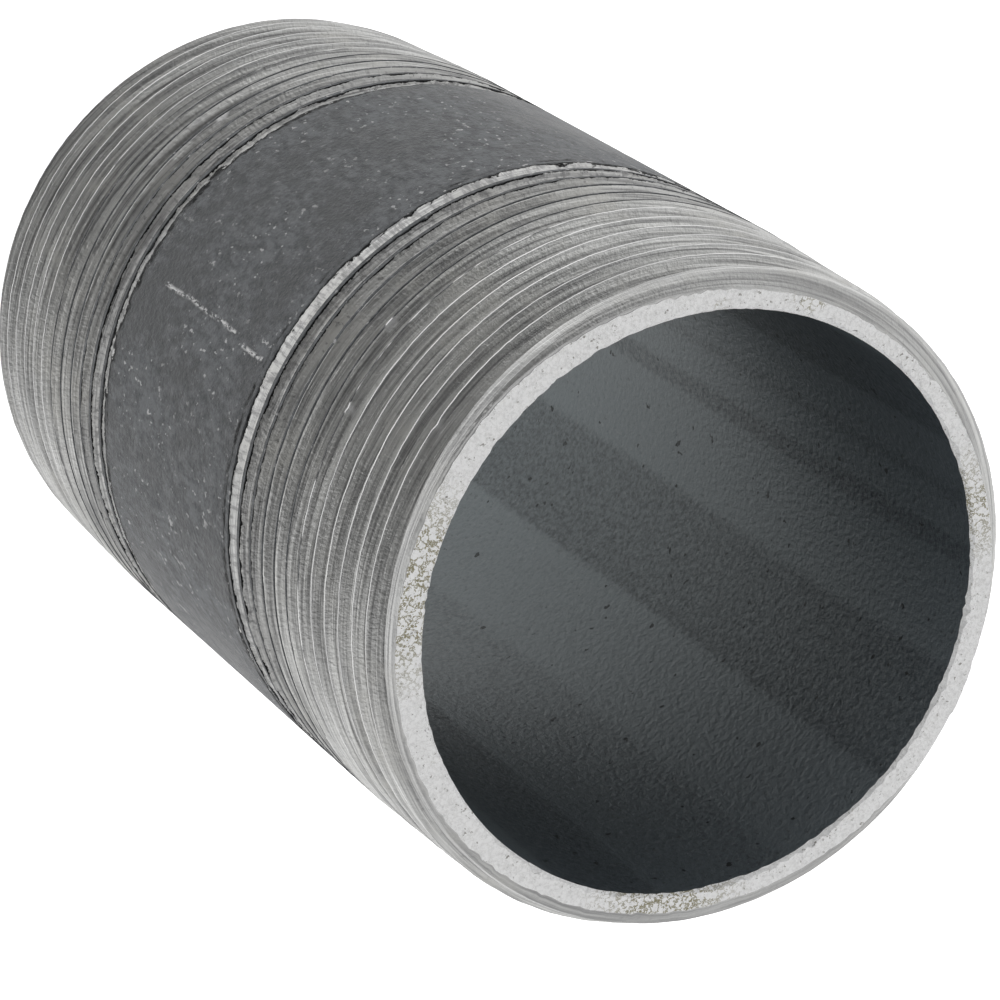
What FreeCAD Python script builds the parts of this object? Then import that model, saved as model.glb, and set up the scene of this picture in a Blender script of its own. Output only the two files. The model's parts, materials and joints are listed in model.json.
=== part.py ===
import FreeCAD, Part
import os
import Sketcher

# A threaded pipe nipple: one short length of Schedule 40 steel pipe, 2-1/2 inch nominal size and
# 4-1/2 inch long, with a right-hand taper pipe thread, 8 to the inch, cut at each end.
# It stands on its lower end: +Z is the pipe's axis, and the origin is the centre of the lower face.
# Lengths are in millimetres and angles in degrees. Each thread is worked out as it lies at the
# lower end, where its depth is its height above the face; the upper one is then turned over.

DRIVING = [
    # name, value, what it is
    ("pipe_outside", "73.025", "outside diameter of 2-1/2 inch nominal pipe"),
    ("pipe_wall", "5.156", "wall of Schedule 40 pipe"),
    ("nipple_length", "114.3", "overall length"),
    ("thread_pitch", "3.175", "8 threads to the inch"),
    ("thread_depth", "2.54", "crest to root, 0.8 of the pitch"),
    ("root_flat", "0.121", "width of the flat at the bottom of the groove"),
    ("flank_angle", "30", "one flank of the 60 degree thread, from square to the axis"),
    ("pitch_diameter", "69.076", "pitch diameter at the small end"),
    ("taper_angle", "1.7899", "half angle of the 1 in 16 taper"),
    ("full_thread", "28.89", "depth to which the groove is cut in full, from the end face"),
    ("throat_angle", "12", "slope of the die's throat, which lifts the groove's floor past there"),
    ("throat_lead", "6", "length of the throat that lies inside the root, before it tells"),
    ("throat_length", "25", "whole length of the throat, enough to clear the barrel"),
    ("upper_entry", "-3.85", "depth at which the upper groove first crosses the +X side"),
    ("lower_entry", "-2.075", "depth at which the lower groove first crosses the +X side"),
    ("groove_turns", "14", "turns of groove, from outside the end to past the run-out"),
    ("face_diameter", "68.9", "outside diameter of the sawn end face, inside its chamfer"),
    ("chamfer_length", "2.6", "length of the end chamfer, along the pipe"),
    ("cutter_lift", "0.06", "how far the groove's cutter stands proud of the crests"),
]

# Sizes that follow from the driving dimensions.
DERIVED = [
    ("barrel_radius", "pipe_outside / 2"),
    ("bore_radius", "pipe_outside / 2 - pipe_wall"),
    ("face_radius", "face_diameter / 2"),
    ("crest_radius", "( pitch_diameter + thread_depth ) / 2"),
    ("root_radius", "( pitch_diameter - thread_depth ) / 2"),
    ("taper_slope", "tan( taper_angle * 1 deg )"),
    ("cone_length", "( barrel_radius - crest_radius ) / taper_slope"),
    ("chamfer_radius", "crest_radius + chamfer_length * taper_slope"),
    ("cutter_height", "thread_depth + cutter_lift"),
    ("cutter_root_half", "root_flat / 2"),
    ("cutter_top_half", "cutter_root_half + cutter_height * tan( flank_angle * 1 deg )"),
    ("throat_slope", "tan( throat_angle * 1 deg )"),
    ("throat_depth", "full_thread - throat_lead"),
    ("throat_start", "root_radius + full_thread * taper_slope - throat_lead * throat_slope"),
    ("throat_end", "throat_start + throat_length * throat_slope"),
]

NAMES = [name for name, *rest in DRIVING + DERIVED]

doc = FreeCAD.newDocument("PipeNipple")
sheet = doc.addObject("Spreadsheet::Sheet", "Sizes")


def fill_sheet():
    """Give every size a row of the sheet, with its name as the cell's alias."""
    for row, (name, value, meaning) in enumerate(DRIVING, start=1):
        sheet.set(f"A{row}", name)
        sheet.set(f"B{row}", value)
        sheet.set(f"C{row}", meaning)
        sheet.setAlias(f"B{row}", name)
    doc.recompute()
    for row, (name, formula) in enumerate(DERIVED, start=len(DRIVING) + 1):
        sheet.set(f"A{row}", name)
        sheet.set(f"B{row}", "=" + formula)
        sheet.setAlias(f"B{row}", name)
        doc.recompute()


def on_sheet(formula):
    """The formula as another object has to write it, with each size looked up on the sheet."""
    return " ".join("Sizes." + word if word in NAMES else word for word in formula.split())


def draw_outline(sketch, corners):
    """Draw a closed outline whose corners, each a (radius, height), are held by formulas."""
    points = []
    for corner in corners:
        radius, height = [float(sheet.evalExpression(formula)) for formula in corner]
        points.append(FreeCAD.Vector(radius, height, 0))
    for start, end in zip(points, points[1:] + points[:1]):
        sketch.addGeometry(Part.LineSegment(start, end), False)
    for edge, (corner, point) in enumerate(zip(corners, points)):
        following = (edge + 1) % len(points)
        sketch.addConstraint(Sketcher.Constraint("Coincident", edge, 2, following, 1))
        for direction, formula, value in zip(("DistanceX", "DistanceY"), corner, point):
            constraint = Sketcher.Constraint(direction, -1, 1, edge, 1, value)
            number = sketch.addConstraint(constraint)
            sketch.setExpression(f"Constraints[{number}]", on_sheet(formula))
    doc.recompute()


def lifted(height):
    """The placement of something that starts this far up the axis."""
    return FreeCAD.Placement(FreeCAD.Vector(0, 0, height), FreeCAD.Rotation())


def turn_blank():
    """Turn the pipe before threading: bore, barrel, the two taper cones and the end chamfers."""
    body = doc.addObject("PartDesign::Body", "PipeBlank")
    plane = next(item for item in body.Origin.OriginFeatures if item.Role == "XZ_Plane")
    wall = body.newObject("Sketcher::SketchObject", "WallSection")
    wall.AttachmentSupport = (plane, [""])
    wall.MapMode = "FlatFace"
    draw_outline(wall, [
        ("bore_radius", "0"),
        ("face_radius", "0"),
        ("chamfer_radius", "chamfer_length"),
        ("barrel_radius", "cone_length"),
        ("barrel_radius", "nipple_length - cone_length"),
        ("chamfer_radius", "nipple_length - chamfer_length"),
        ("face_radius", "nipple_length"),
        ("bore_radius", "nipple_length"),
    ])
    turned = body.newObject("PartDesign::Revolution", "PipeWall")
    turned.Profile = wall
    turned.ReferenceAxis = (wall, ["V_Axis"])
    turned.Angle = 360
    doc.recompute()
    return body


def swept_groove(name, end, entry):
    """Carry the V of the thread along a right-hand helix that starts outside the end face."""
    root = f"root_radius + {entry} * taper_slope"
    section = doc.addObject("Sketcher::SketchObject", name + "Section")
    section.Placement = end * FreeCAD.Placement(
        FreeCAD.Vector(0, 0, 0), FreeCAD.Rotation(FreeCAD.Vector(1, 0, 0), 90))
    draw_outline(section, [
        (root, f"{entry} - cutter_root_half"),
        (f"{root} + cutter_height", f"{entry} - cutter_top_half"),
        (f"{root} + cutter_height", f"{entry} + cutter_top_half"),
        (root, f"{entry} + cutter_root_half"),
    ])

    helix = doc.addObject("Part::Helix", name + "Helix")
    helix.LocalCoord = "Right-handed"
    helix.SegmentLength = 1
    helix.setExpression("Pitch", on_sheet("thread_pitch"))
    helix.setExpression("Height", on_sheet("groove_turns * thread_pitch"))
    helix.setExpression("Radius", on_sheet(root))
    helix.setExpression("Angle", on_sheet("taper_angle"))
    helix.Placement = end * lifted(sheet.get(entry))
    doc.recompute()

    groove = doc.addObject("Part::Sweep", name + "Groove")
    groove.Sections = [section]
    groove.Spine = (helix, [f"Edge{number + 1}" for number in range(len(helix.Shape.Edges))])
    groove.Solid = True
    groove.Frenet = True
    doc.recompute()
    return groove


def groove_cutter(name, end, entry):
    """Take the die's throat off the swept groove, so that its floor climbs out of the pipe.

    The cone's seam is turned a quarter away from the ends of the groove's turns: where both lie
    in one plane, the cut can fail.
    """
    throat = doc.addObject("Part::Cone", name + "Throat")
    throat.setExpression("Radius1", on_sheet("throat_start"))
    throat.setExpression("Radius2", on_sheet("throat_end"))
    throat.setExpression("Height", on_sheet("throat_length"))
    quarter_turn = FreeCAD.Rotation(FreeCAD.Vector(0, 0, 1), 90)
    throat.Placement = end * lifted(sheet.throat_depth) * FreeCAD.Placement(
        FreeCAD.Vector(0, 0, 0), quarter_turn)
    cutter = doc.addObject("Part::Cut", name)
    cutter.Base = swept_groove(name, end, entry)
    cutter.Tool = throat
    doc.recompute()
    return cutter


def cut_groove(steel, cutter):
    """Take the cutter's sweep out of the steel, and make sure that it bit."""
    threaded = doc.addObject("Part::Cut", cutter.Name + "Cut")
    threaded.Base = steel
    threaded.Tool = cutter
    doc.recompute()
    removed = steel.Shape.Volume - threaded.Shape.Volume
    if not 0 < removed < cutter.Shape.Volume:
        raise RuntimeError(f"{cutter.Name} cut {removed:.1f} mm3, which can't be right")
    print(f"{cutter.Name}: {removed:.1f} mm3 of steel removed")
    return threaded


def check_and_export(part):
    """Write the part as STEP, once every object of the document is sound."""
    for item in doc.Objects:
        if "Invalid" in item.State or "Error" in item.State:
            raise RuntimeError(f"{item.Name} failed: {item.State}")
    shape = part.Shape
    if shape.isNull() or not shape.isValid() or len(shape.Solids) != 1:
        raise RuntimeError(f"{part.Label} is not one valid solid")
    os.makedirs("parts", exist_ok=True)
    shape.exportStep(f"parts/{part.Label}.step")
    box = shape.BoundBox
    print(f"{part.Label}: {box.XLength:.3f} x {box.YLength:.3f} x {box.ZLength:.3f} mm,"
          f" {shape.Volume:.0f} mm3, {len(shape.Faces)} faces")


fill_sheet()

lower_end = lifted(0)
upper_end = FreeCAD.Placement(
    FreeCAD.Vector(0, 0, sheet.nipple_length), FreeCAD.Rotation(FreeCAD.Vector(1, 0, 0), 180))

nipple = turn_blank()
for side, end in (("Lower", lower_end), ("Upper", upper_end)):
    nipple = cut_groove(nipple, groove_cutter(side + "Thread", end, side.lower() + "_entry"))

nipple.Label = "pipe_nipple"
check_and_export(nipple)
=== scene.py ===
# %% [markdown]
# # A threaded pipe nipple
# A nipple is a short length of pipe with a thread on each end, and it joins two fittings. This
# one is black steel. The CAD model already has its size and place, but the CAD thread is
# perfect. This lesson makes the steel again as a threading machine leaves it: ragged where the
# thread runs out, worn and nicked on its crests, and sawn across its ends. It could be sculpted
# by hand, but here everything is worked out from a few sizes, so that each can be changed.

# %% [markdown]
# ## The frame and its size
# The CAD model is loaded and measured before anything is made. Typing its sizes in again would
# work too, but then the two models could drift apart. Read from the frame, they always agree.

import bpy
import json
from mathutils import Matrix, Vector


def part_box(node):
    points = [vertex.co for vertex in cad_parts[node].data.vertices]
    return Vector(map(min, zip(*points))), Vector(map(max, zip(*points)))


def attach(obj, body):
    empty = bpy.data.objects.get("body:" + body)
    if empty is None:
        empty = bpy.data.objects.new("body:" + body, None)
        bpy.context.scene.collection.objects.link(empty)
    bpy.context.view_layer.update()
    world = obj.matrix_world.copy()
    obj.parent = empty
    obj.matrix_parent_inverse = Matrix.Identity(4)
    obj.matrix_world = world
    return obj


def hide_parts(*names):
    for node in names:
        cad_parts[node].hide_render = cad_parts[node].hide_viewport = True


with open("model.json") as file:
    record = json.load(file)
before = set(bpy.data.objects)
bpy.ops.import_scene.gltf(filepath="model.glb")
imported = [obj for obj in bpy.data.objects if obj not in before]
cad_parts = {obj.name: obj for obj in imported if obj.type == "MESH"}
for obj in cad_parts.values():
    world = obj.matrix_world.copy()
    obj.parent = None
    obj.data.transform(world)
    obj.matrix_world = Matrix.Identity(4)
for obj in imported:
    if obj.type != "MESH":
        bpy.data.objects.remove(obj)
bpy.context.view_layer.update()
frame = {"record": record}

import json
import math

import bmesh
import bpy
from mathutils import Matrix, Vector, noise

MM = 0.001
low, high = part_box("pipe_nipple")
LENGTH = high.z - low.z
BARREL_RADIUS = (high.x - low.x) / 2
mounts = {mount["name"]: mount for mount in frame["record"]["mounts"]}
BORE_RADIUS = mounts["bore"]["dims"]["r_mm"] * MM
print(f"nipple: {LENGTH / MM:.1f} mm long, {2 * BARREL_RADIUS / MM:.2f} mm across")

# %% [markdown]
# ## The camera
# A long lens half a metre away looks down into the upper end, so that the bore and the outside
# are seen together. A Track To constraint could aim it, but that keeps the horizon level. Here
# its three axes are worked out from where it stands, what it looks at and which way is up in
# its picture. That rolls it too, until the pipe lies from top left to bottom right.

# %% Place the camera
CAMERA_AT = Vector((0.2250, -0.1340, 0.4878))
AIM_AT = Vector((-0.0054, 0.0072, 0.0572))
UPRIGHT = Vector((0.0, -0.9502, -0.3117))

lens = bpy.data.cameras.new("long_lens")
lens.sensor_width = 36
lens.lens = 161.9
lens.clip_start = 0.01
camera = bpy.data.objects.new("camera", lens)
bpy.context.collection.objects.link(camera)
look = (AIM_AT - CAMERA_AT).normalized()
right = look.cross(UPRIGHT).normalized()
turned = Matrix((right, right.cross(look), -look)).transposed()
camera.matrix_world = Matrix.Translation(CAMERA_AT) @ turned.to_4x4()
bpy.context.scene.camera = camera
print(f"camera {(AIM_AT - CAMERA_AT).length:.3f} m from the pipe's middle")

# %% [markdown]
# ## Measuring round the pipe
# A pipe is easiest to describe by an angle round its axis, a radius and a height, but a mesh
# stores X, Y and Z. These helpers go from one to the other. The last one gives smooth noise,
# which all unevenness below is made from. Random numbers would do as well, but this noise
# depends only on the place, so the nipple comes out the same every time.

# %% Helpers for places on a pipe
def angle_at(place):
    """The angle of a place round the pipe's axis, from +X, in radians."""
    return math.atan2(place.y, place.x)


def radius_at(place):
    """How far a place is from the pipe's axis."""
    return math.hypot(place.x, place.y)


def set_radius(point, radius):
    """Move a point straight towards or away from the pipe's axis."""
    scale = radius / radius_at(point.co)
    point.co.x *= scale
    point.co.y *= scale


def unevenness(place, across, along, shift=0):
    """Noise from -1 to 1, with about so many waves a metre across the pipe and along it."""
    return noise.noise(Vector((place.x * across, place.y * across, place.z * along + shift)))


print(f"wall: {(BARREL_RADIUS - BORE_RADIUS) / MM:.3f} mm thick")

# %% [markdown]
# ## The thread's own sizes
# A taper pipe thread has fixed proportions: its pitch, the 60 degree V of its groove, and a
# taper of 1 in 16 on the diameter. It could be cut with a Boolean, but a V that runs out of a
# cylinder leaves long thin faces that shade badly. A set of sizes and a formula for the radius
# at any place is easier to tear and wear later. Depths are counted from the nearer end face.

# %% Thread sizes
PITCH = 3.175 * MM
FLANK = math.radians(30)
SLOPE = 1 / 32
CREST_AT_FACE = 35.808 * MM
ROOT_AT_FACE = 33.268 * MM
ROOT_FLAT = 0.121 * MM
FACE_RADIUS = 34.45 * MM
CHAMFER = math.tan(math.radians(29))
GROOVE = {"upper": 27.9 * MM, "lower": 26.5 * MM}
print(f"thread: {(CREST_AT_FACE - ROOT_AT_FACE) / MM:.2f} mm deep, {PITCH / MM:.3f} mm apart")

# %% [markdown]
# ## What the die leaves
# A die cuts full grooves only as far as its own length. Past that its throat, which is a cone,
# lifts the floor of the groove out of the pipe in about four turns, and that is the run-out.
# The formula takes the highest of the groove and the throat, and the lowest of that, the crest
# and the chamfer. Each is a straight line, so the corners between them come out sharp.

# %% The die's path
FULL_DEPTH = 28.9 * MM
THROAT = math.tan(math.radians(12))


def end_depth(place, side):
    """How far a place lies from the end face on this side."""
    return LENGTH - place.z if side == "upper" else place.z


def die_cut(place, side):
    """The radius that the die leaves at a place, and how near that is to a crest, 0 to 1."""
    depth = end_depth(place, side)
    turn = angle_at(place) / math.tau
    along = depth - GROOVE[side] - PITCH * (-turn if side == "upper" else turn)
    from_root = abs((along / PITCH + 0.5) % 1 - 0.5) * PITCH
    vee = ROOT_AT_FACE + depth * SLOPE + max(0, from_root - ROOT_FLAT / 2) / math.tan(FLANK)
    throat = ROOT_AT_FACE + FULL_DEPTH * SLOPE + (depth - FULL_DEPTH) * THROAT
    crest = CREST_AT_FACE + depth * SLOPE
    chamfer = FACE_RADIUS + depth * CHAMFER
    cut = min(max(vee, throat), crest, chamfer)
    return cut, from_root / (PITCH / 2)


groove_floor, nearness = die_cut(Vector((BARREL_RADIUS, 0, GROOVE["lower"])), "lower")
print(f"groove floor at {groove_floor / MM:.2f} mm, {nearness:.2f} of the way to a crest")

# %% [markdown]
# ## One turn that follows the screw line
# A thread could be displaced from an even grid, but a crest would come out as a saw edge where
# it crosses the rows. Here a short upright chain of points, one pitch tall, is spun once round
# the axis while it climbs by one pitch. Each groove and each crest then has its own unbroken
# line of points. The points are closest together at the crest and at the groove's floor.

# %% Spin one turn
AROUND = 300
LINES = (-0.47, -0.33, -0.2, -0.1, -0.03, 0.03, 0.1, 0.2, 0.33, 0.47)


def one_turn(start):
    """A mesh of one turn of plain pipe, with a crest in its middle that starts at a height."""
    bm = bmesh.new()
    heights = [start + PITCH * line for line in (*LINES, LINES[0] + 1)]
    chain = [bm.verts.new((BARREL_RADIUS, 0, height)) for height in heights]
    links = [bm.edges.new(pair) for pair in zip(chain, chain[1:])]
    bmesh.ops.spin(bm, geom=chain + links, cent=(0, 0, 0), axis=(0, 0, 1),
                   dvec=(0, 0, PITCH / AROUND), angle=math.tau, steps=AROUND,
                   use_merge=False, use_duplicate=False)
    return bm


sample = one_turn(0)
print(f"one turn: {len(sample.faces)} faces")
sample.free()

# %% [markdown]
# ## Stacking the turns
# The whole thread is the same turn again and again, each a pitch higher than the last. An
# Array modifier could repeat it, but the copies have to be welded and trimmed before they are
# carved, so they are made and merged in the mesh itself.

# %% Stack and weld
WELD = 0.02 * MM


def only(kind, items):
    """The items that are of one bmesh type."""
    return [item for item in items if isinstance(item, kind)]


def stack(bm, turns):
    """Copy a turn upwards, a pitch at a time, and weld the copies to it."""
    first = bm.verts[:] + bm.edges[:] + bm.faces[:]
    for turn in range(1, turns + 1):
        copy = bmesh.ops.duplicate(bm, geom=first)["geom"]
        points = only(bmesh.types.BMVert, copy)
        bmesh.ops.translate(bm, verts=points, vec=(0, 0, PITCH * turn))
    bmesh.ops.remove_doubles(bm, verts=bm.verts, dist=WELD)


print(f"welds points within {WELD / MM:.2f} mm")

# %% [markdown]
# ## Trimming square
# A stack of climbing turns ends in a step, but the pipe is sawn square. Bisect Plane cuts it
# level, and adds a point wherever the cut crosses a line of the mesh. Those extra points would
# fall between the columns and pull the next rings out of shape, so each one is welded to the
# nearest column.

# %% Trim the stack
LEVEL = 0.001 * MM
IN_COLUMN = 0.02


def square_off(bm, height):
    """Weld the points that a trim adds between the columns to the nearest column."""
    columns, between = {}, {}
    for point in bm.verts:
        if abs(point.co.z - height) < LEVEL:
            column = angle_at(point.co) / math.tau * AROUND
            nearest = round(column) % AROUND
            if abs(column - round(column)) < IN_COLUMN:
                columns[nearest] = point
            else:
                between[point] = nearest
    targets = {point: columns[nearest] for point, nearest in between.items()}
    bmesh.ops.weld_verts(bm, targetmap=targets)


def trim(bm, height, outwards):
    """Cut a stack level at a height, and throw away what lies outwards of it."""
    everything = bm.verts[:] + bm.edges[:] + bm.faces[:]
    bmesh.ops.bisect_plane(bm, geom=everything, dist=1e-7, plane_co=(0, 0, height),
                           plane_no=(0, 0, outwards), clear_outer=True)
    square_off(bm, height)


print(f"a column every {360 / AROUND:.1f} degrees")

# %% [markdown]
# ## A sleeve for each end
# Each threaded end starts as a plain sleeve of pipe that is a little longer than the thread and
# its run-out. The two threads start at different angles, because the machine grips the pipe
# afresh for each, so each sleeve is made on its own thread's lines. Both go into one mesh,
# because the real pipe is one piece of steel.

# %% Make the two sleeves
SLEEVE_DEPTH = 42.5 * MM
EDGE_BREAK = 0.4 * MM


def plain_sleeve(side):
    """A tube of plain pipe for one end, its points on the lines of that end's thread."""
    bottom = LENGTH - SLEEVE_DEPTH if side == "upper" else EDGE_BREAK
    top = LENGTH - EDGE_BREAK if side == "upper" else SLEEVE_DEPTH
    crest = GROOVE[side] + PITCH / 2
    start = LENGTH - crest if side == "upper" else crest
    start -= PITCH * math.ceil((start - bottom) / PITCH + 1.5)
    bm = one_turn(start)
    stack(bm, math.ceil((top - start) / PITCH))
    trim(bm, bottom, -1)
    trim(bm, top, 1)
    return bm


steel = bmesh.new()
for side in ("lower", "upper"):
    sleeve = plain_sleeve(side)
    mesh = bpy.data.meshes.new(side)
    sleeve.to_mesh(mesh)
    sleeve.free()
    steel.from_mesh(mesh)
    bpy.data.meshes.remove(mesh)
    print(f"{side} sleeve: {len(steel.verts)} points so far")

# %% [markdown]
# ## The barrel
# Between the threads the pipe is plain. It could be a cylinder of its own, but then there would
# be a seam in the steel. Bridging the open rims of the two sleeves makes it with no seam, and
# dividing the long faces of the bridge gives it rings that can be made slightly uneven.

# %% Bridge the sleeves
BARREL_RINGS = 12
SAME_HEIGHT = 0.01 * MM
LONG_EDGE = 10 * MM


def rim(bm, *heights):
    """The open edges that lie at these heights."""
    return [edge for edge in bm.edges if edge.is_boundary
            and any(abs(edge.verts[0].co.z - height) < SAME_HEIGHT for height in heights)]


def edge_rise(edge):
    """How far one end of an edge is above the other."""
    return abs(edge.verts[0].co.z - edge.verts[1].co.z)


def bridge(bm, edges, rings):
    """Join two open rims, and divide the join into rings of faces."""
    bmesh.ops.bridge_loops(bm, edges=edges)
    spans = [edge for edge in bm.edges if edge_rise(edge) > LONG_EDGE]
    bmesh.ops.subdivide_edges(bm, edges=spans, cuts=rings, use_grid_fill=True)


bridge(steel, rim(steel, SLEEVE_DEPTH, LENGTH - SLEEVE_DEPTH), BARREL_RINGS)
print(f"with the barrel: {len(steel.faces)} faces")

# %% [markdown]
# ## The skin of the pipe
# Pipe is rolled from strip and welded, so it is never quite round. That hardly shows on the
# barrel, but it decides where the die first touches the pipe, so it is what makes the run-out
# ragged. A Displace modifier could do it too. A formula is used because the carving below has
# to compare the skin with the die's path at every point.

# %% The rolled skin
OVAL = 0.10 * MM
OVAL_TURNED = 0.9
SKIN_WAVE = 0.12 * MM


def skin_radius(place):
    """The radius of the pipe as it was rolled: slightly oval, slightly wavy and pitted."""
    oval = OVAL * (0.5 + 0.5 * math.cos(2 * angle_at(place) + OVAL_TURNED))
    broad = unevenness(place, 90, 45)
    ragged_edge = unevenness(place, 420, 300, 7)
    return BARREL_RADIUS - oval - SKIN_WAVE * (0.5 + 0.35 * broad + 0.15 * ragged_edge)


print(f"skin up to {(OVAL + SKIN_WAVE) / MM:.2f} mm under the full radius")

# %% [markdown]
# ## Nicks in the crests
# Crests are thin, and they get knocked when nipples are thrown into a bin. Each nick is a
# shallow round dent that is a millimetre or so across. They could be scattered at random, but
# a few that are listed here sit on real crests and don't repeat.

# %% Nicks
NICKS = (
    # side, depth of the crest, degrees round from +X, size
    ("upper", 23.6 * MM, -39, 1.1 * MM),
    ("upper", 20.1 * MM, -24, 0.8 * MM),
    ("upper", 4.2 * MM, -30, 0.8 * MM),
    ("upper", 12.3 * MM, 71, 0.8 * MM),
    ("upper", 17.0 * MM, 160, 0.9 * MM),
    ("lower", 28.2 * MM, -53, 1.1 * MM),
    ("lower", 25.1 * MM, -50, 1.1 * MM),
    ("lower", 15.5 * MM, 95, 0.9 * MM),
)


def nick(place, side):
    """How deeply the thread is knocked in at a place, from 0 to 1."""
    deepest = 0
    for nicked_side, depth, degrees, size in NICKS:
        if side == nicked_side:
            angle = math.radians(degrees)
            across = place.x * math.sin(angle) - place.y * math.cos(angle)
            ahead = place.x * math.cos(angle) + place.y * math.sin(angle) > 0
            away = math.hypot(across, end_depth(place, side) - depth) / size
            if ahead and away < 1:
                deepest = max(deepest, 1 - away ** 2)
    return deepest


print(f"{len(NICKS)} nicks")

# %% [markdown]
# ## Tears and chatter
# A die doesn't cut cleanly. It chatters, it tears the tips of the crests, and it tears most in
# the run-out, where the chips are thin. The first turns are also rubbed and rounded by
# handling. These are small changes to the depth of the cut, real enough to catch the light.
# Bump in the material could fake them, but not along the outline of the thread.

# %% How the cut strays
CHATTER = 0.04 * MM
CREST_TEAR = 0.06 * MM
RUN_TEAR = 0.08 * MM
NICK_DEPTH = 0.22 * MM
WORN_WAVE = 0.10 * MM
WORN_LENGTH = 5.5 * MM
RUN_START = 27 * MM
RUN_LENGTH = 9 * MM


def worn_at(depth):
    """How worn the thread is: 1 at the end face, 0 past the worn length."""
    return max(0, 1 - depth / WORN_LENGTH)


def run_at(depth):
    """How far the thread has run out: 0 on full thread, 1 on the last turns."""
    return max(0, min(1, (depth - RUN_START) / RUN_LENGTH))


def torn_cut(place, side, knock):
    """The radius that the die really leaves at a place, and how near that is to a crest."""
    depth = end_depth(place, side)
    cut, crest = die_cut(place, side)
    tear = unevenness(place, 900, 900)
    cut += CHATTER * unevenness(place, 400, 150)
    cut += tear * (CREST_TEAR * crest ** 4 + RUN_TEAR * run_at(depth))
    cut = min(cut, CREST_AT_FACE + depth * SLOPE - NICK_DEPTH * knock)
    cut += WORN_WAVE * worn_at(depth) * unevenness(place, 60, 1400)
    return cut, crest


print(f"the cut strays by up to about {(CHATTER + CREST_TEAR + RUN_TEAR) / MM:.2f} mm")

# %% [markdown]
# ## Carving
# Now each point moves to the radius that the steel has there: the die's, or the skin's where
# the die doesn't reach it. Four measures are stored on the points for the materials: how far
# the die's path is above the skin, how near a crest is, which paints a highlight on the crests,
# how worn the thread is and how far it has run out. They could be painted, but measured like
# this they always fit the shape.

# %% Carve the outside
CREST_STARTS = 0.92
CREST_FADE = 0.05

skin_layer = steel.verts.layers.float.new("skin")
crest_highlight_layer = steel.verts.layers.float.new("crest")
worn_layer = steel.verts.layers.float.new("worn")
run_layer = steel.verts.layers.float.new("run")
for point in steel.verts:
    place = point.co.copy()
    side = "upper" if place.z > LENGTH / 2 else "lower"
    depth = end_depth(place, side)
    knock = nick(place, side)
    worn = worn_at(depth)
    skin = skin_radius(place)
    cut, crest = torn_cut(place, side, knock)
    on_crest = (crest - CREST_STARTS + 0.3 * knock) / CREST_FADE if cut < skin else 0
    point[skin_layer] = (cut - skin) / MM
    # The crest measure paints a highlight on the crests: it fades out on the worn turns and is
    # stronger at the nicks.
    point[crest_highlight_layer] = max(0, min(1, on_crest)) * (1 - worn) ** 2 * (1 + 0.4 * knock)
    point[worn_layer] = worn
    point[run_layer] = run_at(depth)
    set_radius(point, min(cut, skin))
print(f"carved {len(steel.verts)} points")

# %% [markdown]
# ## The edge of a sawn end
# The ends are sawn square and left as they are. The sawn ring isn't even: handling has worn its
# outer edge back on one side, both its edges are ragged, and there are a few stained places. A
# flat disc with a hole would be simpler, but its edges would be perfect circles. So the edges
# are worked out first, as a radius for each angle.

# %% Edges of the sawn ring
LIP_RADIUS = 34.5 * MM
LIP_WEAR = 1.0 * MM
WORN_SIDE = math.radians(100)
STAIN_FADE = 12
STAINS = (
    # degrees round from +X, half width in degrees
    (-4, 15),
    (92, 12),
    (200, 7),
)


def ragged(point, size):
    """A small step for one column of points, up to a size either way."""
    return size * unevenness(point.co, 700, 0, 3)


def lip(angle):
    """The outer radius of the flat sawn ring, whose edge is worn back on one side."""
    return LIP_RADIUS - LIP_WEAR * max(0, math.cos(angle - WORN_SIDE)) ** 2


def stained(angle):
    """1 in the middle of a stain on a sawn face, 0 away from the stains."""
    beyond = min(abs((math.degrees(angle) - middle + 180) % 360 - 180) - half
                 for middle, half in STAINS)
    return max(0, min(1, 0.5 - beyond / STAIN_FADE))


print(f"sawn ring: {(lip(0) - BORE_RADIUS) / MM:.1f} mm wide, "
      f"{(lip(WORN_SIDE) - BORE_RADIUS) / MM:.1f} mm on its worn side")

# %% [markdown]
# ## Extruding the sawn ring
# The open rim of a sleeve is extruded inwards ring by ring, just as E and S would do it in the
# editor: first over the worn edge, then across the face, and last over the edge of the bore.
# Each ring takes its finish as it is made. Filling the rim with one big face would be quicker,
# but it couldn't be rippled by the saw.

# %% One sawn end
OUTSIDE, SAWN, BORE = 0, 1, 2
ACROSS = (0.0, 0.2, 0.4, 0.6, 0.8, 0.95)
RIM_LAND = 0.05 * MM
BORE_BREAK = 0.3 * MM
SAW_RIPPLE = 0.06 * MM
LIP_RAGGED = 0.5 * MM
BORE_EDGE = 0.2 * MM
BORE_EDGE_RAGGED = 0.9 * MM
BREAK_RAGGED = 0.6 * MM
LINING = 0.02 * MM


def extruded_rim(bm, edges, finish):
    """Extrude an open rim in place, and return its new points and its new rim."""
    geom = bmesh.ops.extrude_edge_only(bm, edges=edges)["geom"]
    for face in only(bmesh.types.BMFace, geom):
        face.material_index = finish
    new_rim = [edge for edge in only(bmesh.types.BMEdge, geom) if edge.is_boundary]
    return only(bmesh.types.BMVert, geom), new_rim


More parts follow.
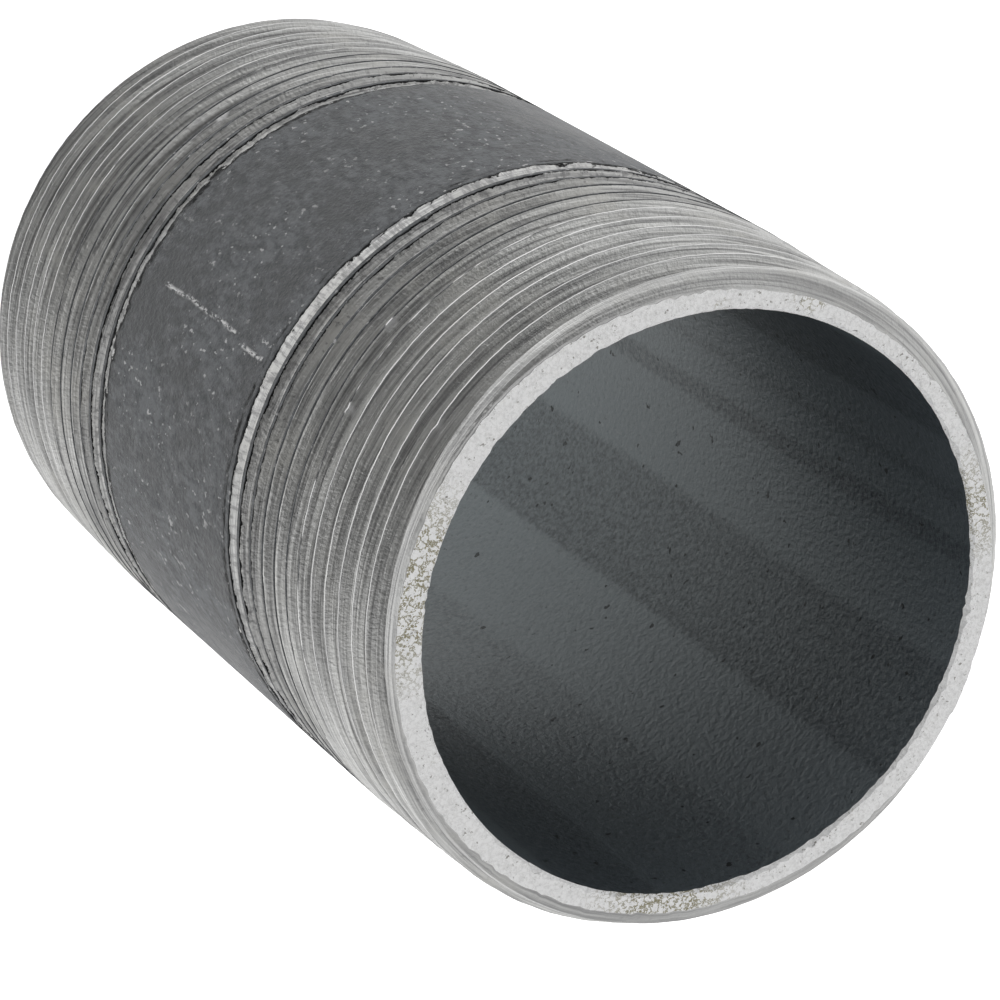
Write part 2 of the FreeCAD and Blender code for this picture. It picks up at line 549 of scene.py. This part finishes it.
def sawn_end(bm, face_height, inwards):
    """Make one sawn face and the edge of the bore, and return the rim inside the bore."""
    edges = rim(bm, face_height + inwards * EDGE_BREAK)
    inner = BORE_RADIUS + BORE_BREAK
    outer = {}
    for share in ACROSS:
        points, edges = extruded_rim(bm, edges, SAWN if share else OUTSIDE)
        for point in points:
            angle = angle_at(point.co)
            column = round(angle / math.tau * AROUND) % AROUND
            if column not in outer:
                widest = min(radius_at(point.co) - RIM_LAND, lip(angle))
                outer[column] = widest - abs(ragged(point, LIP_RAGGED))
            set_radius(point, outer[column] + (inner - outer[column]) * share)
            saw_line = Vector((point.co.x * 500, point.co.y * 120, share))
            ripple = 0.5 + 0.5 * noise.noise(saw_line)
            point.co.z = face_height + inwards * SAW_RIPPLE * max(0, ripple)
            point[skin_layer] = -1
            point[crest_highlight_layer] = 0
            point[worn_layer] = 1
            point[stain_layer] = stained(angle)
    for point in points:
        set_radius(point, BORE_RADIUS + BORE_EDGE + abs(ragged(point, BORE_EDGE_RAGGED)))
    points, edges = extruded_rim(bm, edges, SAWN)
    for point in points:
        set_radius(point, BORE_RADIUS + LINING)
        point.co.z = face_height + inwards * (BORE_BREAK + abs(ragged(point, BREAK_RAGGED)))
    return edges


print(f"a sawn end takes {len(ACROSS) + 1} rings")

# %% [markdown]
# ## Both ends and the bore
# The bore is the last side of the steel. It is bridged straight through the pipe from one sawn
# end to the other, as the barrel was, which closes the mesh. A separate tube inside would leave
# two open edges, and a mesh that is open has no volume to weigh or to print.

# %% Close the ends and line the bore
BORE_RINGS = 16

stain_layer = steel.verts.layers.float.new("stain")
lower_rim = sawn_end(steel, 0.0, 1)
upper_rim = sawn_end(steel, LENGTH, -1)
bridge(steel, lower_rim + upper_rim, BORE_RINGS)
print(f"with the ends and the bore: {len(steel.faces)} faces")

# %% [markdown]
# ## Bands along the bore
# The rolls that shaped the strip leave it slightly flat in places and duller in others, and both
# run the whole length of the bore as bands with quite crisp edges. A texture wrapped round the
# bore could show them. Here the flats are real, and the dull bands are a measure on the points,
# so neither can slide along the pipe.

# %% Band the bore
WAVE_DEPTH = 0.10 * MM
ON_BORE = 0.05 * MM
BAND_EDGE = 1.6
BANDS = (
    # degrees round from +X, half width in degrees, how dark
    (15, 9, 0.7),
    (79, 12, 1.0),
    (105, 12.5, 0.5),
    (154.5, 12.5, 0.9),
    (189, 2.5, 0.8),
    (201, 1.5, 0.6),
    (225, 11, 1.0),
    (300, 20, 0.8),
)


def in_band(angle):
    """How dark the bore is at an angle in degrees, from 0 outside the bands to 1."""
    darkest = 0
    for middle, half, tone in BANDS:
        beyond = abs((angle - middle + 180) % 360 - 180) - half
        darkest = max(darkest, tone * max(0, min(1, 0.5 - beyond / BAND_EDGE)))
    return darkest


band_layer = steel.verts.layers.float.new("band")
bore_points = [point for point in steel.verts if radius_at(point.co) < BORE_RADIUS + ON_BORE]
for point in bore_points:
    point[band_layer] = in_band(math.degrees(angle_at(point.co)))
    wave = 0.5 + 0.5 * unevenness(point.co, 110, 3)
    set_radius(point, BORE_RADIUS + WAVE_DEPTH * wave)
print(f"{len(BANDS)} bands on {len(bore_points)} points")

# %% [markdown]
# ## Closing the mesh
# The faces of the bore take their own finish, and then every face is made to point outwards,
# because a spin and a bridge don't always agree on which way is out. This could be done by eye
# with the Face Orientation overlay. Counting the open edges and working out the volume is
# surer: no open edge, and a volume above nothing, mean that the steel is closed and right way
# out.

# %% Set the bore's finish and turn the faces outwards
BORE_REACH = 0.15 * MM

for face in steel.faces:
    if max(radius_at(point.co) for point in face.verts) < BORE_RADIUS + BORE_REACH:
        face.material_index = BORE
bmesh.ops.recalc_face_normals(steel, faces=steel.faces)
open_edges = [edge for edge in steel.edges if not edge.is_manifold]
print(f"closed: {len(steel.faces)} faces, {len(open_edges)} open edges, "
      f"{steel.calc_volume() / MM ** 3:.0f} mm3")

# %% [markdown]
# ## Smooth steel, sharp lines
# Smooth shading suits steel that was turned, but the crests and the lines between two finishes
# have to stay crisp. A bevel would give them a real edge at the cost of many more faces. So an
# edge is marked sharp where it folds by more than a set angle, or where two finishes meet.

# %% Make the object
SHARP = math.radians(28)

for face in steel.faces:
    face.smooth = True
for edge in steel.edges:
    finishes = {face.material_index for face in edge.link_faces}
    edge.smooth = edge.calc_face_angle(0) < SHARP and len(finishes) == 1
nipple_mesh = bpy.data.meshes.new("nipple_steel")
steel.to_mesh(nipple_mesh)
steel.free()
nipple = bpy.data.objects.new("nipple_steel", nipple_mesh)
bpy.context.collection.objects.link(nipple)
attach(nipple, "root")
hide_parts("pipe_nipple")
print(f"{sum(len(polygon.vertices) - 2 for polygon in nipple_mesh.polygons)} triangles")

# %% [markdown]
# ## Nodes from a script
# The nipple has three finishes: threaded steel, sawn steel and the coated bore. Each is a small
# tree of nodes. Nodes can be placed and joined with the mouse, but in a script every setting
# stays on one line where it can be read. The helper makes a node and sets its inputs by name,
# whether they take a number or come from another node.

# %% Node helpers
def feed(tree, socket, value):
    """Set an input to a value, or join it to another node's output."""
    if isinstance(value, bpy.types.NodeSocket):
        tree.links.new(value, socket)
    else:
        socket.default_value = value


def add(tree, kind, settings=None, **inputs):
    """Add a node. An input is named with _ for each space, or by its number, as i0 or i1."""
    node = tree.nodes.new(kind)
    for key, value in (settings or {}).items():
        setattr(node, key, value)
    for key, value in inputs.items():
        numbered = key[0] == "i" and key[1:].isdigit()
        feed(tree, node.inputs[int(key[1:]) if numbered else key.replace("_", " ")], value)
    return node


def new_material(name):
    """An empty material and its node tree."""
    material = bpy.data.materials.new(name)
    material.use_nodes = True
    material.node_tree.nodes.clear()
    return material, material.node_tree


def give_finish(material):
    """Put a finished material into the nipple's next slot."""
    nipple_mesh.materials.append(material)
    print(f"{material.name}: {len(material.node_tree.nodes)} nodes")


print("slots: outside, sawn, bore")

# %% [markdown]
# ## Patterns and measures
# Real finishes are never one flat colour. A finish here is a noise, spread with a ramp, that
# mixes two colours, and this is done over and over at different sizes. An image could be used,
# but a noise in the object's own coordinates has no seam and no resolution. The measures that
# were stored while carving are read back with an Attribute node.

# %% Pattern helpers
def grain(tree, stretch, detail=3.0, rough=0.55, name="grain"):
    """A noise with so many waves a metre in X, Y and Z."""
    place = add(tree, "ShaderNodeTexCoord").outputs["Object"]
    scaled = add(tree, "ShaderNodeMapping", {"label": name}, Vector=place, Scale=stretch)
    return add(tree, "ShaderNodeTexNoise", Vector=scaled.outputs["Vector"], Scale=1.0,
               Detail=detail, Roughness=rough).outputs["Fac"]


def measure(tree, name):
    """One of the measures that were stored on the mesh's points."""
    return add(tree, "ShaderNodeAttribute", {"attribute_name": name}).outputs["Fac"]


def ramp(tree, value, low, high, to_low=0.0, to_high=1.0):
    """Spread the stretch from low to high over to_low to to_high, clamped, with soft ends."""
    return add(tree, "ShaderNodeMapRange", {"interpolation_type": "SMOOTHSTEP"}, Value=value,
               From_Min=low, From_Max=high, To_Min=to_low, To_Max=to_high).outputs["Result"]


def bump(tree, height, distance, strength, under=None):
    """A bumped normal, on top of another one if that is given."""
    beneath = {"Normal": under} if under else {}
    return add(tree, "ShaderNodeBump", Height=height, Distance=distance, Strength=strength,
               **beneath).outputs["Normal"]


print("patterns: noise, measure, ramp, bump")

# %% [markdown]
# ## Arithmetic and colours
# Patterns are combined with plain sums: times to show one only where another is, plus and minus
# to push an edge about, and the larger of two to have either. Steel has hardly any colour of its
# own, so a colour is written as a grey with a slight tint.

# %% Arithmetic and colour helpers
def sums(tree, operation, first, second=0.0):
    """One step of arithmetic on values or sockets."""
    return add(tree, "ShaderNodeMath", {"operation": operation}, i0=first, i1=second).outputs[0]


def times(tree, first, second):
    """The product of two patterns."""
    return sums(tree, "MULTIPLY", first, second)


def from_middle(tree, value, middle):
    """How far a pattern is from a value, either way."""
    return sums(tree, "ABSOLUTE", sums(tree, "SUBTRACT", value, middle))


def grey(level, tint=(1, 1, 1)):
    """A grey with a slight tint, as red, green, blue and alpha."""
    return (level * tint[0], level * tint[1], level * tint[2], 1)


def blend(tree, share, first, second):
    """Mix two colours."""
    node = add(tree, "ShaderNodeMix", {"data_type": "RGBA"}, i0=share, i6=first, i7=second)
    return node.outputs[2]


print(f"a middle grey is {grey(0.2)}")

# %% [markdown]
# ## Scratches along the barrel
# Two bright scratches run along the barrel where it was dragged over something hard. They could
# be modelled as grooves, but they are only as deep as the coating. Each is a thin line along
# the pipe at one angle, which wanders a little and is broken up by a fine noise.

# %% Scratches
SCRATCHES = (
    # degrees round from +X, lowest height, highest height
    (-23, 45.5 * MM, 65.5 * MM),
    (-22, 68.0 * MM, 73.5 * MM),
)
SCRATCH_WIDTH = 0.4 * MM
SCRATCH_DRIFT = 1.2 * MM


def scratch(tree, degrees, lowest, highest):
    """A thin broken line along the pipe, 1 on the scratch and 0 beside it."""
    place = add(tree, "ShaderNodeTexCoord").outputs["Object"]
    facing = add(tree, "ShaderNodeVectorRotate", {"rotation_type": "Z_AXIS"}, Vector=place,
                 Angle=math.radians(-degrees))
    way = add(tree, "ShaderNodeSeparateXYZ", Vector=facing.outputs["Vector"])
    drift = times(tree, grain(tree, (3, 3, 160), 2, 0.5, "drift"), SCRATCH_DRIFT)
    across = sums(tree, "ADD", way.outputs["Y"], drift)
    line = ramp(tree, from_middle(tree, across, SCRATCH_DRIFT / 2), 0, SCRATCH_WIDTH, 1, 0)
    front = sums(tree, "GREATER_THAN", way.outputs["X"], 0.0)
    span = times(tree, sums(tree, "GREATER_THAN", way.outputs["Z"], lowest),
                 sums(tree, "LESS_THAN", way.outputs["Z"], highest))
    broken = ramp(tree, grain(tree, (2500, 2500, 1300), 3, 0.7, "breaks"), 0.44, 0.56)
    return times(tree, times(tree, line, front), times(tree, span, broken))


print(f"{len(SCRATCHES)} scratches")

# %% [markdown]
# ## The black coating
# Black pipe is left with the dark scale of the mill and a thin lacquer over it. It is rubbed
# grey where it has been handled, it has pale specks, and beside the die's cut in the run-out
# it is painted nearly black, partly as torn coating and partly as a painted shadow along the
# torn edge. It isn't a metal to look at, so it is a plain dark surface with a weak gloss. A
# strong gloss would hide all its colours under white reflections.

# %% The coated skin
FRESH_COAT = grey(0.022, (0.90, 1.0, 1.12))
RUBBED_COAT = grey(0.085, (0.94, 1.0, 1.07))
PALE_SPECK = grey(0.30)
BARE_SCRATCH = grey(0.45)
# Torn coating and a painted shadow: nearly black along the torn edge of the coating in the
# run-out.
TORN_COAT_AND_SHADE = grey(0.006)


def coated_skin(tree, torn_and_shaded):
    """The shader of the coating, blackest where the torn-edge measure is 1: torn coating and a
    painted shadow.
    """
    mottle = grain(tree, (75, 75, 55), 6, 0.7, "mottle")
    rubbed = grain(tree, (800, 800, 420), 5, 0.75, "rubbed")
    specks = ramp(tree, grain(tree, (1350, 1350, 1000), 2, 0.5, "specks"), 0.64, 0.70)
    pits = grain(tree, (1500, 1500, 1500), 4, 0.65, "pits")
    colour = blend(tree, ramp(tree, times(tree, mottle, rubbed), 0.17, 0.36),
                   FRESH_COAT, RUBBED_COAT)
    colour = blend(tree, times(tree, specks, ramp(tree, mottle, 0.4, 0.6)), colour, PALE_SPECK)
    for place in SCRATCHES:
        colour = blend(tree, scratch(tree, *place), colour, BARE_SCRATCH)
    # Paints the torn edge nearly black, partly torn coating and partly painted shadow.
    colour = blend(tree, torn_and_shaded, colour, TORN_COAT_AND_SHADE)
    normal = bump(tree, pits, 0.22 * MM, 0.7, bump(tree, rubbed, 0.4 * MM, 0.6))
    return add(tree, "ShaderNodeBsdfPrincipled", Base_Color=colour, Metallic=0.0,
               Roughness=ramp(tree, mottle, 0.3, 0.7, 0.42, 0.6), Normal=normal,
               Specular_IOR_Level=ramp(tree, torn_and_shaded, 0.0, 1.0, 0.24, 0.03)).outputs[0]


print("coating: mottled, rubbed, specked, scratched and burnt")

# %% [markdown]
# ## The cut steel
# Inside the grooves the steel is bare and bright, with fine lines round the pipe from the
# die's teeth. It is duller at the worn start, torn and dark in the run-out, and brightest on
# the crests, where a highlight is painted into its colour. One metal shader does it all, and
# the stored measures say where each of these is.

# %% The cut steel
LINE_SHADE = grey(0.20)
LINE_SHINE = grey(0.68, (1, 1, 0.98))
OILY_PATCH = grey(0.52, (1, 0.99, 0.95))
TORN_STEEL = grey(0.10)
TORN_AWAY = grey(0.16)
RUN_OUT_STEEL = grey(0.26)
WORN_STEEL = grey(0.30)
# Painted highlight: the crests get this brighter colour.
CREST_HIGHLIGHT = grey(0.56)


def cut_steel(tree, run):
    """The shader of the bare steel, which is torn where run is near 1."""
    teeth = grain(tree, (30, 30, 4200), 4, 0.7, "tool lines")
    patches = grain(tree, (130, 130, 70), 5, 0.65, "patches")
    torn = grain(tree, (1500, 1500, 260), 4, 0.7, "torn")
    chatter = grain(tree, (2300, 2300, 150), 3, 0.6, "chatter")
    colour = blend(tree, ramp(tree, teeth, 0.34, 0.66), LINE_SHADE, LINE_SHINE)
    colour = blend(tree, ramp(tree, patches, 0.45, 0.75), colour, OILY_PATCH)
    tears = times(tree, ramp(tree, torn, 0.56, 0.68), ramp(tree, run, 0.0, 1.0, 0.25, 0.9))
    colour = blend(tree, tears, colour, TORN_STEEL)
    strips = times(tree, ramp(tree, torn, 0.44, 0.60), ramp(tree, run, 0.75, 1.0))
    colour = blend(tree, times(tree, strips, 0.8), colour, TORN_AWAY)
    colour = blend(tree, times(tree, run, 0.4), colour, RUN_OUT_STEEL)
    colour = blend(tree, times(tree, measure(tree, "worn"), 0.5), colour, WORN_STEEL)
    # Painted highlight along the crests.
    colour = blend(tree, measure(tree, "crest"), colour, CREST_HIGHLIGHT)
    normal = bump(tree, teeth, 0.16 * MM, 0.7, bump(tree, chatter, 0.16 * MM, 0.7))
    return add(tree, "ShaderNodeBsdfPrincipled", Base_Color=colour, Metallic=1.0, Normal=normal,
               Roughness=ramp(tree, patches, 0.3, 0.7, 0.34, 0.44)).outputs[0]


print("steel: turned, patched, torn, worn and bright on its crests")

# %% [markdown]
# ## Threaded steel
# The outside is coating wherever the die didn't cut, and bare steel wherever it did. Two
# objects or two slots would put a hard line of mesh edges between them. Here both shaders are
# on one surface, and the stored gap between the die's path and the skin mixes them. A fine
# noise is added to it in the run-out, so the black strips that are left there have torn edges.

# %% Mix the outside
def threaded_steel():
    """Coating on the uncut skin and bare steel in the cut, with a ragged line between."""
    material, tree = new_material("threaded_steel")
    run = measure(tree, "run")
    fray = sums(tree, "SUBTRACT", grain(tree, (520, 520, 900), 5, 0.7, "ragged edge"), 0.5)
    smeared = times(tree, sums(tree, "ADD", times(tree, fray, 1.1), 0.08), run)
    proud = sums(tree, "ADD", measure(tree, "skin"), smeared)
    # Just above the die's cut in the run-out the coating is painted nearly black: partly torn
    # coating, partly painted shadow along the torn edge.
    torn_and_shaded = times(tree, ramp(tree, proud, 0.05, 0.34, 1.0, 0.0), ramp(tree, run, 0.2, 0.7))
    coated = ramp(tree, proud, -0.01, 0.02)
    both = add(tree, "ShaderNodeMixShader", i0=coated, i1=cut_steel(tree, run),
               i2=coated_skin(tree, torn_and_shaded))
    add(tree, "ShaderNodeOutputMaterial", Surface=both.outputs[0])
    return material


give_finish(threaded_steel())

# %% [markdown]
# ## The sawn faces
# The saw leaves a matt, nearly white face with tiny pits, and a film of old oil has dried olive
# in cracks at the stained places. Sawn steel is a metal, but its scratches are so fine and so
# mixed that it scatters light like chalk, so a pale surface that isn't metallic looks more like
# it than a rough metal does.

# %% The sawn face
DULL_SAWN = grey(0.80)
BRIGHT_SAWN = grey(0.97)
PIT = grey(0.28, (1, 0.97, 0.88))
VEIN = grey(0.35, (1, 0.97, 0.9))
OLD_OIL = grey(0.26, (1, 0.90, 0.50))


def sawn_face():
    """Chalky sawn steel with pits, faint veins and olive stains."""
    material, tree = new_material("sawn_face")
    pits = grain(tree, (1500, 1500, 1500), 5, 0.7, "pits")
    rough = grain(tree, (2400, 2400, 2400), 3, 0.65, "rough")
    blotch = grain(tree, (130, 130, 130), 5, 0.65, "stain")
    veins = from_middle(tree, grain(tree, (900, 900, 900), 4, 0.7, "veins"), 0.5)
    crack = ramp(tree, veins, 0.010, 0.045, 1.0, 0.0)
    oily = sums(tree, "MAXIMUM", measure(tree, "stain"), ramp(tree, blotch, 0.58, 0.72))
    colour = blend(tree, ramp(tree, rough, 0.25, 0.55), DULL_SAWN, BRIGHT_SAWN)
    colour = blend(tree, ramp(tree, pits, 0.60, 0.68), colour, PIT)
    colour = blend(tree, times(tree, crack, 0.18), colour, VEIN)
    colour = blend(tree, times(tree, oily, crack), colour, OLD_OIL)
    normal = bump(tree, pits, 0.25 * MM, 0.7, bump(tree, rough, 0.12 * MM, 0.6))
    face = add(tree, "ShaderNodeBsdfPrincipled", Base_Color=colour, Metallic=0.0,
               Roughness=0.55, Normal=normal)
    add(tree, "ShaderNodeOutputMaterial", Surface=face.outputs[0])
    return material


give_finish(sawn_face())

# %% [markdown]
# ## The coated bore
# Inside, the coating is thicker and pebbled like orange peel, a cool dark grey with a stronger
# gloss than the barrel's. The bands differ as much in gloss as in colour, so the band measure
# drives both. Changing the colour alone would look painted on, because a dull band has to go
# dark where the bore catches the light.

# %% The bore
BORE_SHADE = grey(0.034, (0.80, 0.98, 1.16))
BORE_LIGHT = grey(0.066, (0.82, 0.98, 1.12))
PEBBLE_GAP_SHADE = grey(0.01)
# Painted shade in the gaps between the pebbles.
PINHOLE = grey(0.008)
# Painted highlight on the tops of the pebbles.
PEBBLE_TOP_HIGHLIGHT = grey(0.12, (0.93, 1.0, 1.02))
COOL_GLOSS = grey(1.0, (0.86, 0.98, 1.0))


def coated_bore():
    """Pebbled coating whose bands differ in colour and in gloss."""
    material, tree = new_material("coated_bore")
    pebble = grain(tree, (1500, 1500, 1200), 3, 0.6, "pebble")
    soft = grain(tree, (60, 60, 5), 3, 0.5, "soft bands")
    fleck = grain(tree, (1900, 1900, 1600), 3, 0.65, "flecks")
    hole = ramp(tree, grain(tree, (620, 620, 620), 2, 0.5, "holes"), 0.70, 0.74)
    light = sums(tree, "SUBTRACT", ramp(tree, soft, 0.35, 0.65, 0.88, 1.0),
                 times(tree, measure(tree, "band"), 0.5))
    light = sums(tree, "ADD", light, ramp(tree, fleck, 0.3, 0.7, -0.22, 0.22))
    colour = blend(tree, light, BORE_SHADE, BORE_LIGHT)
    # Painted shade: the low parts of the pebble relief are darkened.
    colour = blend(tree, ramp(tree, pebble, 0.28, 0.40, 1.0, 0.0), colour, PEBBLE_GAP_SHADE)
    colour = blend(tree, hole, colour, PINHOLE)
    # Painted highlight: the high parts of the pebble relief are lightened.
    colour = blend(tree, ramp(tree, pebble, 0.60, 0.72, 0.0, 0.6), colour, PEBBLE_TOP_HIGHLIGHT)
    gloss = ramp(tree, sums(tree, "SUBTRACT", light, hole), 0.0, 1.0, 0.2, 0.95)
    wall = add(tree, "ShaderNodeBsdfPrincipled", Base_Color=colour, Metallic=0.0, IOR=1.6,
               Specular_IOR_Level=gloss, Roughness=0.42, Specular_Tint=COOL_GLOSS,
               Normal=bump(tree, pebble, 0.18 * MM, 0.55))
    add(tree, "ShaderNodeOutputMaterial", Surface=wall.outputs[0])
    return material


give_finish(coated_bore())

# %% [markdown]
# ## The floor
# The nipple stands on a white table that glows, like a sheet of opal plastic that is lit from
# below. It lights the deep end of the bore and the underside of each crest. A lamp under the
# pipe would do that too, but its own reflection would show in the steel.

# %% A pale floor
FLOOR_HALF = 4.0

floor_mesh = bpy.data.meshes.new("floor")
floor_bm = bmesh.new()
bmesh.ops.create_grid(floor_bm, x_segments=1, y_segments=1, size=FLOOR_HALF)
floor_bm.to_mesh(floor_mesh)
floor_bm.free()
floor = bpy.data.objects.new("floor", floor_mesh)
bpy.context.collection.objects.link(floor)
floor_material, tree = new_material("pale_floor")
glow = add(tree, "ShaderNodeEmission", Color=grey(1.0), Strength=1.0)
matt = add(tree, "ShaderNodeBsdfDiffuse", Color=grey(0.8))
opal = add(tree, "ShaderNodeAddShader", i0=glow.outputs[0], i1=matt.outputs[0])
add(tree, "ShaderNodeOutputMaterial", Surface=opal.outputs[0])
floor_mesh.materials.append(floor_material)
print(f"floor: {2 * FLOOR_HALF:.0f} m square")

# %% [markdown]
# ## The light
# Bare steel shows whatever stands round it. In an all-white room it would turn flat white, so
# a product studio hangs a dark card beside the lens. The sky here is white, with one soft dark
# zone that stays fixed in the room where the first camera stands. It could be a real card made
# from a plane, but that would throw a shadow on the table.

# %% White studio with a dark card
CARD_SHADE = 0.12
# cosines of the angle from the card's middle, where it starts to darken and where it is darkest
CARD_EDGE = 0.55
CARD_FULL = 0.95

world = bpy.data.worlds.new("studio")
bpy.context.scene.world = world
world.use_nodes = True
tree = world.node_tree
tree.nodes.clear()
direction = add(tree, "ShaderNodeTexCoord").outputs["Generated"]
towards = (CAMERA_AT - AIM_AT).normalized()
facing = add(tree, "ShaderNodeVectorMath", {"operation": "DOT_PRODUCT"},
             i0=direction, i1=towards)
card = ramp(tree, facing.outputs["Value"], CARD_EDGE, CARD_FULL)
sky_colour = blend(tree, card, grey(1.0), grey(CARD_SHADE))
sky = add(tree, "ShaderNodeBackground", Color=sky_colour, Strength=1.0)
add(tree, "ShaderNodeOutputWorld", Surface=sky.outputs[0])
bpy.context.scene.view_settings.view_transform = "Standard"
print(f"card: {math.degrees(math.acos(CARD_EDGE)):.0f} degrees from its middle to its edge")
